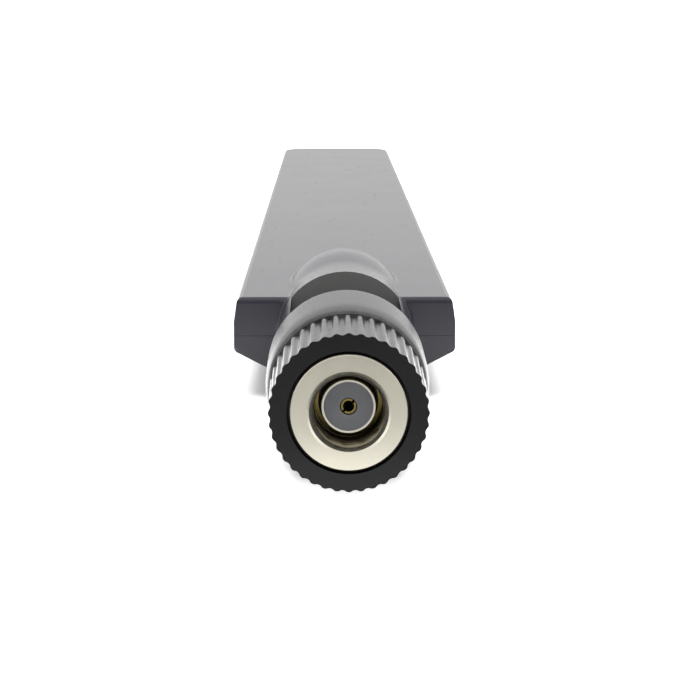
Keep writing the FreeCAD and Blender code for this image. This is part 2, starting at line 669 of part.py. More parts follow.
def coax_braid():
    """Braid flared over the plug's tail, then drawn down inside the jacket."""
    on_tail = TAIL_R + FIT
    outline = [(on_tail, BRAID_OVER_TAIL_Y), (JACKET_R, BRAID_OVER_TAIL_Y), (JACKET_R, TAIL_END_Y)]
    outline += [(BRAID_R, JACKET_START_Y), (BRAID_R, BRAID_END_Y), (DIELECTRIC_R, BRAID_END_Y)]
    outline += [(DIELECTRIC_R, JACKET_START_Y), (on_tail, TAIL_END_Y + FIT)]
    return turned(outline)


def coax_dielectric():
    return tube(DIELECTRIC_R, CONDUCTOR_R, DIELECTRIC_START_Y, DIELECTRIC_END_Y)


def conductor_low_z():
    return BOARD_TOP_Z + COPPER + CONDUCTOR_R + COPPER_GAP


def coax_conductor():
    """Inner wire, straight, then one easy S down to the board."""
    drop = -conductor_low_z()
    turn = math.acos(1 - drop / (2 * CONDUCTOR_BEND_R))
    across = CONDUCTOR_BEND_R * math.sin(turn)
    bend_y = CONDUCTOR_BEND_Y
    half = turn / 2
    r = CONDUCTOR_BEND_R
    start = FreeCAD.Vector(0, CONDUCTOR_START_Y, 0)
    first = FreeCAD.Vector(0, bend_y, 0)
    first_mid = FreeCAD.Vector(0, bend_y + r * math.sin(half), -r * (1 - math.cos(half)))
    middle = FreeCAD.Vector(0, bend_y + across, -drop / 2)
    last_mid = FreeCAD.Vector(0, bend_y + 2 * across - r * math.sin(half), -drop + r * (1 - math.cos(half)))
    last = FreeCAD.Vector(0, bend_y + 2 * across, -drop)
    end = FreeCAD.Vector(0, CONDUCTOR_END_Y, -drop)
    edges = [Part.makeLine(start, first)]
    edges.append(Part.Arc(first, first_mid, middle).toShape())
    edges.append(Part.Arc(middle, last_mid, last).toShape())
    edges.append(Part.makeLine(last, end))
    path = Part.Wire(edges)
    section = Part.Wire([Part.Circle(start, Y, CONDUCTOR_R).toShape()])
    return path.makePipeShell([section], True, False)


PIECES = {
    "coupling_nut": coupling_nut,
    "knurled_sleeve": knurled_sleeve,
    "plug_body": plug_body,
    "insulator": insulator,
    "centre_contact": centre_contact,
    "gasket": gasket,
    "nut_clip": nut_clip,
    "swivel_retainer": swivel_retainer,
    "crimp_ferrule": crimp_ferrule,
    "spring_washer": spring_washer,
    "swivel_collar": swivel_collar,
    "hinge_knuckle": hinge_knuckle,
    "hinge_pins": hinge_pins,
    "blade_body": blade_body,
    "blade_cover": blade_cover,
    "circuit_board": circuit_board,
    "copper_front": copper_front,
    "copper_back": copper_back,
    "solder_joints": solder_joints,
    "foam_pads": foam_pads,
    "coax_jacket": coax_jacket,
    "coax_braid": coax_braid,
    "coax_dielectric": coax_dielectric,
    "coax_conductor": coax_conductor,
}


def main():
    os.makedirs("parts", exist_ok=True)
    for name, make in PIECES.items():
        shape = make()
        solids = len(shape.Solids)
        print(f"{name}: {solids} solid(s), {shape.Volume:.2f} mm3, valid {shape.isValid()}")
        shape.exportStep(f"parts/{name}.step")


main()
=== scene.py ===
import math

import bpy
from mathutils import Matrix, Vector


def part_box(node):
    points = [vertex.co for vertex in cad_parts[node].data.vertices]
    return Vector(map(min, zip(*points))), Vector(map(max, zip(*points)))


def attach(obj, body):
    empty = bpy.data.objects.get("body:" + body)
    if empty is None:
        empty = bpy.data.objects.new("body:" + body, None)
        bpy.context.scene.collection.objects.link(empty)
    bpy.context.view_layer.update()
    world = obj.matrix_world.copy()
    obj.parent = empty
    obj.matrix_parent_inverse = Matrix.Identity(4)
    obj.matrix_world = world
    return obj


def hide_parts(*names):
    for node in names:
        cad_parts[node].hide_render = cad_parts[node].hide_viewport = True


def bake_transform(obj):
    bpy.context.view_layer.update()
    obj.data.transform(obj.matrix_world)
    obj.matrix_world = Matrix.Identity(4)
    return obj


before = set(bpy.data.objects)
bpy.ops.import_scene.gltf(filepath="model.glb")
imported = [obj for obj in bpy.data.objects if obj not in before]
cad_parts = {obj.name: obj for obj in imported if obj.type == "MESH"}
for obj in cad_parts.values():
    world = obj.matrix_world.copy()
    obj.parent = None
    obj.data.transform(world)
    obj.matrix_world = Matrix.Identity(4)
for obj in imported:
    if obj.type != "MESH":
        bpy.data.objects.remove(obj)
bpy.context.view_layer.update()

bl_info = {
    "name": "Hinged blade antenna",
    "version": (1, 0, 0),
    "blender": (4, 5, 0),
    "location": "View3D > Sidebar > Antenna",
    "description": "Finishes a hinged blade antenna with a reverse-polarity coaxial plug",
    "category": "Object",
}

MM = 0.001
AXIS_Y = (0.0, 1.0, 0.0)


# ---------------------------------------------------------------- places read from the frame

def side(node, corner, axis):
    """One side of a CAD node's box, in millimetres. corner is 0 for the low side and 1 for the high."""
    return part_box(node)[corner][axis] / MM


NUT_FRONT = side("coupling_nut", 0, 1)
NUT_REAR = side("coupling_nut", 1, 1)
NUT_RADIUS = side("coupling_nut", 1, 0)
SLEEVE_RADIUS = side("knurled_sleeve", 1, 2)
RING_FACE = side("plug_body", 0, 1)
COLLAR_FRONT = side("swivel_collar", 0, 1)
COLLAR_REAR = side("swivel_collar", 1, 1)
FLOOR_Z = side("swivel_collar", 0, 2)
SHOULDER_HALF = side("blade_body", 1, 0)
TIP_Y = side("blade_body", 1, 1)
BOARD_HALF = side("circuit_board", 1, 0)
PIN_Y = (side("hinge_pins", 0, 1) + side("hinge_pins", 1, 1)) / 2

# ---------------------------------------------------------------- places inside the nodes, in millimetres

SHOULDER_Y, TIP_HALF, SIDE_MIDDLE = 38.5, 9.5, 0.7
FORK_HALF, FORK_FLOOR = 5.25, 34.0
JACKET_R, BRAID_R, CORE_R, WIRE_R = 1.25, 0.95, 0.76, 0.26
TAIL_END, JACKET_START = 15.2, 15.95
FOAM_LENGTH = 12.0


# ---------------------------------------------------------------- settings a user would change

class AntennaStageSettings(bpy.types.PropertyGroup):
    lens: bpy.props.FloatProperty(
        name="Lens", description="Focal length on a 36 mm wide sensor", default=114.3, min=20.0, max=300.0,
    )
    stand_off: bpy.props.FloatProperty(
        name="Stand-off", description="From the nut's face forward to the camera",
        default=178.2 * MM, unit="LENGTH",
    )
    height: bpy.props.FloatProperty(
        name="Height", description="Camera above the plug's axis", default=36.0 * MM, unit="LENGTH",
    )
    sideways: bpy.props.FloatProperty(
        name="Sideways", description="Camera to the right of the plug's axis",
        default=-1.85 * MM, unit="LENGTH",
    )
    pitch: bpy.props.FloatProperty(
        name="Pitch", description="How far the camera looks down", default=math.radians(9.79), subtype="ANGLE",
    )
    yaw: bpy.props.FloatProperty(
        name="Yaw", description="How far the camera turns to the right",
        default=math.radians(0.623), subtype="ANGLE",
    )
    floor_tone: bpy.props.FloatProperty(
        name="Floor tone", description="Brightness of the floor's own colour", default=0.88, subtype="FACTOR",
    )
    # Painted light: the floor itself glows in front of the plug, to wash out the contact shadow under it; no
    # table lights it from below.
    painted_floor_glow: bpy.props.FloatProperty(
        name="Table glow", description="Light from below, through the table under the plug",
        default=0.8, min=0.0,
    )
    backdrop: bpy.props.FloatProperty(
        name="Backdrop", description="Brightness of the white behind the antenna", default=1.0, min=0.0,
    )
    ceiling: bpy.props.FloatProperty(
        name="Ceiling", description="Brightness of the white overhead", default=1.3, min=0.0,
    )
    room: bpy.props.FloatProperty(
        name="Room", description="Brightness of the room behind the camera", default=2.2, min=0.0,
    )
    key_light: bpy.props.FloatProperty(
        name="Key light", description="Power of the soft light above the plug", default=11.0, unit="POWER",
    )
    flag_tone: bpy.props.FloatProperty(
        name="Flag", description="Tone of the dark card that only reflections see",
        default=0.045, subtype="FACTOR",
    )
    # The apron is a painted reflection: a glowing card, seen only in reflections, stands in for the floor in
    # front.
    apron_tone: bpy.props.FloatProperty(
        name="Apron", description="Tone of the floor in front, as reflections see it",
        default=0.84, subtype="FACTOR",
    )
    apron_glare: bpy.props.FloatProperty(
        name="Apron glare", description="The same, right under the plug", default=1.6, min=0.0,
    )


class AntennaPlasticSettings(bpy.types.PropertyGroup):
    sleeve_colour: bpy.props.FloatVectorProperty(
        name="Sleeve", description="Moulded thumb sleeve", size=3, subtype="COLOR",
        default=(0.0026, 0.0026, 0.0028),
    )
    hinge_colour: bpy.props.FloatVectorProperty(
        name="Hinge", description="Moulded collar and knuckle", size=3, subtype="COLOR",
        default=(0.010, 0.010, 0.0106),
    )
    blade_colour: bpy.props.FloatVectorProperty(
        name="Blade", description="Moulded blade and its cover", size=3, subtype="COLOR",
        default=(0.012, 0.0116, 0.0150),
    )
    roughness: bpy.props.FloatProperty(
        name="Roughness", description="Satin of the moulded surfaces", default=0.20, subtype="FACTOR",
    )
    grain: bpy.props.FloatProperty(
        name="Grain", description="Depth of the mould's fine texture",
        default=0.0018 * MM, unit="LENGTH", precision=6,
    )


class AntennaMetalSettings(bpy.types.PropertyGroup):
    nickel: bpy.props.FloatVectorProperty(
        name="Nickel", description="Plating of the nut and the plug", size=3, subtype="COLOR",
        default=(0.64, 0.61, 0.51),
    )
    gold: bpy.props.FloatVectorProperty(
        name="Gold", description="Plating of the centre contact", size=3, subtype="COLOR",
        default=(0.46, 0.36, 0.11),
    )


class AntennaThreadSettings(bpy.types.PropertyGroup):
    pitch: bpy.props.FloatProperty(
        name="Pitch", description="Of the thread in the nut",
        default=25.4 * MM / 36, unit="LENGTH", precision=6,
    )
    crest: bpy.props.FloatProperty(
        name="Crest radius", description="Bore at the thread's crests",
        default=2.87 * MM, unit="LENGTH", precision=6,
    )
    depth: bpy.props.FloatProperty(
        name="Depth", description="From crest to root", default=0.3 * MM, unit="LENGTH", precision=6,
    )


# ---------------------------------------------------------------- modelling by hand

def deselect():
    if bpy.context.object and bpy.context.object.mode != "OBJECT":
        bpy.ops.object.mode_set(mode="OBJECT")
    bpy.ops.object.select_all(action="DESELECT")


def ring_of_edges(name, radius, y, segments):
    """A bare circle round the plug's axis, left in edit mode with all of it selected. Millimetres."""
    deselect()
    bpy.ops.mesh.primitive_circle_add(
        vertices=segments, radius=radius * MM, location=(0, y * MM, 0), rotation=(math.pi / 2, 0, 0),
    )
    ring = bpy.context.object
    ring.name = name
    ring.data.name = name
    bpy.ops.object.transform_apply(location=True, rotation=True, scale=True)
    bpy.ops.object.mode_set(mode="EDIT")
    bpy.ops.mesh.select_all(action="SELECT")
    return ring


def turn_on_axis(name, profile, segments):
    """Lathe: a circle is extruded from corner to corner of profile, (radius, y) in millimetres."""
    first_r, first_y = profile[0]
    piece = ring_of_edges(name, first_r, first_y, segments)
    at_r, at_y = first_r, first_y
    for radius, y in list(profile[1:]) + [profile[0]]:
        bpy.ops.mesh.extrude_edges_move(TRANSFORM_OT_translate={"value": (0, (y - at_y) * MM, 0)})
        grow = radius / at_r
        bpy.ops.transform.resize(value=(grow, 1, grow), center_override=(0, y * MM, 0))
        at_r, at_y = radius, y
    bpy.ops.mesh.select_all(action="SELECT")
    bpy.ops.mesh.remove_doubles(threshold=0.0005 * MM)
    bpy.ops.mesh.normals_make_consistent(inside=False)
    bpy.ops.object.mode_set(mode="OBJECT")
    return piece


def smooth_by_angle(piece, degrees):
    deselect()
    piece.select_set(True)
    bpy.context.view_layer.objects.active = piece
    bpy.ops.object.shade_smooth_by_angle(angle=math.radians(degrees))


def evenly(start, end, step):
    """Values from start to end, about step apart, both ends included."""
    count = max(1, round(abs(end - start) / step))
    return [start + (end - start) * n / count for n in range(count + 1)]


# ---------------------------------------------------------------- materials as expressions

class Value:
    """A shader socket that Python arithmetic can be done on. Each sign adds one Math node."""

    def __init__(self, finish, socket):
        self.finish = finish
        self.socket = socket

    def sign(self, operation, first, second=None, clamp=False):
        inputs = {0: first}
        if second is not None:
            inputs[1] = second
        node = self.finish.add("ShaderNodeMath", {"operation": operation, "use_clamp": clamp}, inputs)
        return Value(self.finish, node.outputs[0])

    def __add__(self, other):
        return self.sign("ADD", self, other)

    def __radd__(self, other):
        return self.sign("ADD", other, self)

    def __sub__(self, other):
        return self.sign("SUBTRACT", self, other)

    def __rsub__(self, other):
        return self.sign("SUBTRACT", other, self)

    def __mul__(self, other):
        return self.sign("MULTIPLY", self, other)

    def __rmul__(self, other):
        return self.sign("MULTIPLY", other, self)

    def sine(self):
        return self.sign("SINE", self)

    def size(self):
        return self.sign("ABSOLUTE", self)

    def root(self):
        return self.sign("SQRT", self)

    def within(self):
        """Held between 0 and 1."""
        return self.sign("ADD", self, 0.0, clamp=True)

    def rise(self, low, high):
        """0 below low, 1 above high, and smooth between. low may be the larger, for a fall."""
        node = self.finish.add(
            "ShaderNodeMapRange", {"interpolation_type": "SMOOTHSTEP"},
            {"Value": self, "From Min": min(low, high), "From Max": max(low, high)},
        )
        up = Value(self.finish, node.outputs["Result"])
        return up if low < high else 1.0 - up


class Finish:
    """One procedural material. Positions are in millimetres, in the object's own coordinates."""

    def __init__(self, name):
        self.material = bpy.data.materials.new(name)
        self.material.use_nodes = True
        self.tree = self.material.node_tree
        self.shader = self.tree.nodes["Principled BSDF"]
        place = self.add("ShaderNodeTexCoord")
        scaled = self.add(
            "ShaderNodeVectorMath", {"operation": "SCALE"}, {0: place.outputs["Object"], "Scale": 1000.0},
        )
        self.place = scaled.outputs[0]
        split = self.add("ShaderNodeSeparateXYZ", {}, {0: self.place})
        self.x, self.y, self.z = (Value(self, split.outputs[n]) for n in range(3))

    def add(self, kind, settings=None, inputs=None):
        """Any node: its type, its settings first, then the values or links of its sockets."""
        node = self.tree.nodes.new(kind)
        for name, value in (settings or {}).items():
            setattr(node, name, value)
        for name, value in (inputs or {}).items():
            socket = node.inputs[name]
            if isinstance(value, Value):
                value = value.socket
            if isinstance(value, bpy.types.NodeSocket):
                self.tree.links.new(value, socket)
            else:
                socket.default_value = value
        return node

    def across(self):
        """Distance from the plug's axis."""
        return (self.x * self.x + self.z * self.z).root()

    def around(self):
        """Angle about the plug's axis, in radians."""
        node = self.add("ShaderNodeMath", {"operation": "ARCTAN2"}, {0: self.x, 1: self.z})
        return Value(self, node.outputs[0])

    def at(self, x, y, z):
        """A position made of three values, for a pattern on its own axes."""
        node = self.add("ShaderNodeCombineXYZ", {}, {0: x, 1: y, 2: z})
        return node.outputs[0]

    def noise(self, per_mm, detail=2.0, rough=0.5, place=None):
        node = self.add(
            "ShaderNodeTexNoise", {},
            {"Vector": place or self.place, "Scale": per_mm, "Detail": detail, "Roughness": rough},
        )
        return Value(self, node.outputs[0])

    def cells(self, per_mm):
        node = self.add("ShaderNodeTexVoronoi", {}, {"Vector": self.place, "Scale": per_mm})
        return Value(self, node.outputs["Distance"])

    def mix(self, share, first, second):
        """Colour between first and second."""
        node = self.add("ShaderNodeMix", {"data_type": "RGBA"}, {0: share})
        for number, colour in ((6, first), (7, second)):
            if isinstance(colour, bpy.types.NodeSocket):
                self.tree.links.new(colour, node.inputs[number])
            else:
                node.inputs[number].default_value = (*colour[:3], 1.0)
        return node.outputs[2]

    def relief(self, height, depth_mm):
        """Bump whose height of 1 stands depth_mm proud."""
        inputs = {"Height": height, "Distance": depth_mm * MM, "Strength": 1.0}
        return self.add("ShaderNodeBump", {}, inputs).outputs[0]

    def set(self, **sockets):
        """Sockets of the shader, by name with underscores for spaces."""
        for name, value in sockets.items():
            socket = self.shader.inputs[name.replace("_", " ")]
            if isinstance(value, Value):
                value = value.socket
            if isinstance(value, bpy.types.NodeSocket):
                self.tree.links.new(value, socket)
            elif hasattr(value, "__len__") and len(value) == 3:
                socket.default_value = (*value, 1.0)
            else:
                socket.default_value = value
        return self


def paint(piece, finish):
    piece.data.materials.clear()
    piece.data.materials.append(finish.material)


def paint_nodes(finishes):
    """Paints CAD nodes. finishes maps a node's name to its finish."""
    for node, finish in finishes.items():
        paint(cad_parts[node], finish)


def shade(colour, by):
    """The colour times by, as a plain tuple."""
    return tuple(channel * by for channel in colour[:3])


# ---------------------------------------------------------------- plastics

WORN_TONE = (0.05, 0.05, 0.051)
# Painted light: the paler tone painted on the fork's floor.
PAINTED_LIGHT_TONE = (0.0366, 0.0366, 0.036)


def moulded_plastic(name, colour, settings, wear=None, seam=None, painted_light=None, ior=1.36, matter=0.0):
    """Black plastic out of a finely spark-eroded mould.

    wear masks what handling has polished, seam the mould's joint, and the third mask where the colour is
    painted paler, as painted light.
    """
    f = Finish(name)
    cloud = f.noise(0.12, 3.0)
    grain = f.noise(3.2, 4.0, 0.62)
    pores = f.cells(5.0)
    scuffs = f.noise(1.0, 4.0, 0.6, f.at(f.x * 1.6, f.y * 0.25, f.z * 1.6)).rise(0.62, 0.74)
    tone = (cloud - 0.5) * 0.4 + (grain - 0.5) * 0.5 + 0.5
    base = f.mix(tone.within(), shade(colour, 0.85), shade(colour, 1.15))
    rough = settings.roughness + matter + (cloud - 0.5) * 0.03 + (grain - 0.5) * 0.08 + scuffs * 0.05
    if wear:
        polished = wear(f) * f.noise(0.9, 3.0).rise(0.35, 0.7)
        rough = rough - polished * 0.05
        base = f.mix(polished * 0.35, base, WORN_TONE)
    # Painted light: the third mask pales the colour.
    if painted_light:
        base = f.mix(painted_light(f), base, PAINTED_LIGHT_TONE)
    height = grain * 0.7 + pores * 0.3
    if seam:
        height = height + seam(f) * 8.0
    normal = f.relief(height, settings.grain / MM)
    f.set(Base_Color=base, Roughness=rough.within(), Normal=normal, IOR=ior)
    return f


def sleeve_crests(f):
    """The knurl's ridges, where fingers turn it."""
    crests = f.across().rise(SLEEVE_RADIUS - 0.2, SLEEVE_RADIUS - 0.06)
    return crests * f.y.rise(NUT_FRONT + 0.05, NUT_FRONT + 0.4)


def collar_rims(f):
    """The two rims of the swivel collar."""
    middle = (COLLAR_FRONT + COLLAR_REAR) / 2
    reach = (COLLAR_REAR - COLLAR_FRONT) / 2
    return (f.y - middle).size().rise(reach - 0.9, reach - 0.1)


def side_seam(f):
    """A hair-thin raised line along both sides, where the mould's halves met."""
    return (f.z + 0.5).size().rise(0.07, 0.02)


def fork_floor(f):
    """The floor of the fork's slot, just behind the knuckle, where the colour is painted paler as painted
    light.
    """
    across = f.x.size().rise(FORK_HALF + 0.05, FORK_HALF - 0.05)
    return across * (f.y - FORK_FLOOR).size().rise(0.3, 0.1)


def blade_edges(f):
    """The long edges of the tapering blade."""
    taper = (SHOULDER_HALF - TIP_HALF) / (TIP_Y - SHOULDER_Y)
    inside = SHOULDER_HALF - (f.y - SHOULDER_Y) * taper - f.x.size()
    return inside.rise(1.0, 0.3) * (f.z - SIDE_MIDDLE).size().rise(2.2, 2.6)


# ---------------------------------------------------------------- metals and the rest

# Painted shade: the dark, warm tone of the thread inside the nut.
THREAD_SHADE_TONE = (0.26, 0.235, 0.165)


def nickel_turned(name, colour, satin=0.24):
    """Plated brass, with the lathe's rings on faces and walls, a few tiny marks, and painted shade that
    darkens the thread inside the nut.
    """
    f = Finish(name)
    r = f.across()
    rings = f.noise(26.0, 2.0, 0.6, f.at(r, f.y * 0.8, 0.0))
    fine = f.noise(70.0, 1.0, 0.5, f.at(r, f.y * 0.7, 0.0))
    tint = f.noise(0.5, 3.0)
    marks = f.noise(4.0, 5.0, 0.7).rise(0.66, 0.78)
    base = f.mix((tint * 0.8 + rings * 0.2).within(), shade(colour, 0.93), shade(colour, 1.05))
    base = f.mix(marks * 0.35, base, shade(colour, 0.62))
    # Painted shade: closer than 3.2 to 3.45 mm to the axis, and from 0.3 to 1 mm behind the nut's face on, the
    # colour darkens to the thread's tone.
    painted_thread_shade = r.rise(3.45, 3.2) * f.y.rise(NUT_FRONT + 0.3, NUT_FRONT + 1.0)
    base = f.mix(painted_thread_shade, base, THREAD_SHADE_TONE)
    rough = satin + (rings - 0.5) * 0.12 + marks * 0.15
    normal = f.relief(rings * 0.6 + fine * 0.4, 0.0016)
    f.set(Base_Color=base, Metallic=1.0, Roughness=rough.within(), Normal=normal)
    return f


def plug_metal(name, nickel, gold):
    """Bright ring in front, going to the brassy tone of the body behind it."""
    f = Finish(name)
    r = f.across()
    deep = f.y.rise(RING_FACE + 0.2, RING_FACE + 1.0)
    rings = f.noise(22.0, 2.0, 0.6, f.at(r, f.y, 0.0))
    brassy = shade(gold, 0.8)
    base = f.mix(deep, nickel, brassy)
    normal = f.relief(rings, 0.0015)
    f.set(Base_Color=base, Metallic=1.0, Roughness=(0.2 + rings * 0.12), Normal=normal)
    return f


def gold_plate(name, colour):
    f = Finish(name)
    rings = f.noise(18.0, 2.0, 0.6, f.at(f.across(), f.y, 0.0))
    stain = f.noise(1.6, 4.0)
    # Painted shade: the plating colour is darkened to 0.4 to 0.6 of itself; the noise picks between these at
    # random.
    base = f.mix(stain, shade(colour, 0.4), shade(colour, 0.6))
    # Painted shade: inside the contact's bore the colour goes nearly black.
    painted_bore_shade = f.across().rise(0.5, 0.47) * f.y.rise(0.05, 0.3)
    base = f.mix(painted_bore_shade, base, (0.012, 0.010, 0.006))
    f.set(Base_Color=base, Metallic=1.0, Roughness=(0.16 + rings * 0.16), Normal=f.relief(rings, 0.001))
    return f


def pale_insulator(name):
    """White insulator with the cutter's faint rings; its waxy white is painted dark grey, as painted shade."""
    f = Finish(name)
    rings = f.noise(9.0, 3.0, 0.6, f.at(f.across(), f.y * 0.5, 0.0))
    cloud = f.noise(0.8, 3.0)
    # Painted shade: the white insulator's colour is dark grey.
    base = f.mix((cloud * 0.6 + rings * 0.4).within(), (0.050, 0.051, 0.056), (0.068, 0.069, 0.075))
    f.set(Base_Color=base, Roughness=(0.36 + rings * 0.14), Normal=f.relief(rings, 0.002), IOR=1.35)
    f.set(Subsurface_Weight=0.12, Subsurface_Scale=0.0006)
    return f


def dark_silicone(name):
    f = Finish(name)
    dust = f.noise(5.0, 4.0, 0.7)
    base = f.mix(dust.rise(0.45, 0.75), (0.012, 0.011, 0.010), (0.035, 0.033, 0.03))
    f.set(Base_Color=base, Roughness=(0.45 + dust * 0.25), Normal=f.relief(dust, 0.004), IOR=1.41)
    return f


def spring_steel(name, colour=(0.42, 0.42, 0.43), temper=(0.46, 0.40, 0.33)):
    """Rolled strip, with the rolling lines along one way and a temper tint."""
    f = Finish(name)
    lines = f.noise(8.0, 3.0, 0.6, f.at(f.x * 0.15, f.y, f.z))
    tint = f.noise(0.7, 3.0)
    base = f.mix(tint, colour, temper)
    f.set(Base_Color=base, Metallic=1.0, Roughness=(0.26 + lines * 0.2), Normal=f.relief(lines, 0.002))
    return f


def green_board(name):
    """Glass laminate under green mask: the weave shows faintly, the cut edge is bare and pale."""
    f = Finish(name)
    warp = (f.x * 9.0).sine()
    weft = (f.y * 9.0).sine()
    weave = (warp * weft) * 0.5 + 0.5
    speck = f.noise(2.5, 4.0)
    mask = f.mix((weave * 0.3 + speck * 0.7).within(), (0.010, 0.060, 0.022), (0.018, 0.105, 0.035))
    edge = f.x.size().rise(BOARD_HALF - 0.06, BOARD_HALF - 0.01)
    base = f.mix(edge, mask, (0.36, 0.34, 0.18))
    normal = f.relief(weave, 0.004)
    f.set(Base_Color=base, Roughness=(0.28 + speck * 0.18), Normal=normal, IOR=1.55)
    return f


def bare_copper(name):
    """Foil with a light oxide bloom and the etch's slightly ragged tone."""
    f = Finish(name)
    bloom = f.noise(0.35, 4.0, 0.6)
    brushed = f.noise(7.0, 3.0, 0.6, f.at(f.x, f.y * 0.08, f.z))
    base = f.mix(bloom.rise(0.35, 0.7), (0.80, 0.42, 0.26), (0.52, 0.24, 0.13))
    f.set(Base_Color=base, Metallic=1.0, Roughness=(0.22 + bloom * 0.25 + brushed * 0.1))
    f.set(Normal=f.relief(brushed, 0.0015))
    return f


def tin_solder(name):
    f = Finish(name)
    flow = f.noise(1.8, 3.0)
    grain = f.noise(9.0, 3.0)
    base = f.mix(flow, (0.56, 0.56, 0.58), (0.72, 0.72, 0.73))
    normal = f.relief(flow * 0.8 + grain * 0.2, 0.01)
    f.set(Base_Color=base, Metallic=1.0, Roughness=(0.16 + grain * 0.22), Normal=normal)
    return f


def cell_foam(name):
    """Closed-cell foam: cut bubbles all over, with painted shade darkening the colour in their hollows."""
    f = Finish(name)
    bubbles = f.cells(2.6)
    small = f.cells(6.5)
    height = bubbles * 0.7 + small * 0.3
    # Painted shade: the colour is darker where the relief is low, in the bubbles' hollows.
    base = f.mix(height.within(), (0.018, 0.018, 0.020), (0.060, 0.060, 0.064))
    f.set(Base_Color=base, Roughness=0.95, Normal=f.relief(height, 0.12))
    return f


def cable_jacket(name):
    f = Finish(name)
    drawn = f.noise(4.0, 3.0, 0.6, f.at(f.x, f.y * 0.05, f.z))
    dust = f.noise(1.3, 4.0)
    base = f.mix(dust.rise(0.4, 0.8), (0.012, 0.012, 0.013), (0.026, 0.026, 0.028))
    f.set(Base_Color=base, Roughness=(0.3 + drawn * 0.16), Normal=f.relief(drawn, 0.004), IOR=1.5)
    return f


def woven_braid(name):
    """Tinned wires crossing over and under round the cable, with painted shade darkening the colour where the
    weave dips.
    """
    f = Finish(name)
    turn = f.around() * 8.0
    right = (turn + f.y * 4.5).sine()
    left = (turn - f.y * 4.5).sine()
    over = (right * left) * 0.5 + 0.5
    wires = (f.around() * 48.0 + f.y * 27.0).sine() * 0.5 + 0.5
    weave = over * 0.7 + wires * 0.3
    # Painted shade: the colour is darker where the weave's relief dips, between and under the wires.
    base = f.mix(weave.within(), (0.26, 0.25, 0.24), (0.78, 0.78, 0.78))
    f.set(Base_Color=base, Metallic=1.0, Roughness=(0.42 - over * 0.16), Normal=f.relief(weave, 0.05))
    return f


# ---------------------------------------------------------------- operators

FLOOR_SIZE = 12.0
FLAG_Y = -0.42
LAMP_PLACE, LAMP_TURN, LAMP_SIZE = (0.0, -0.26, 0.56), (math.radians(27), 0.0, 0.0), 0.5


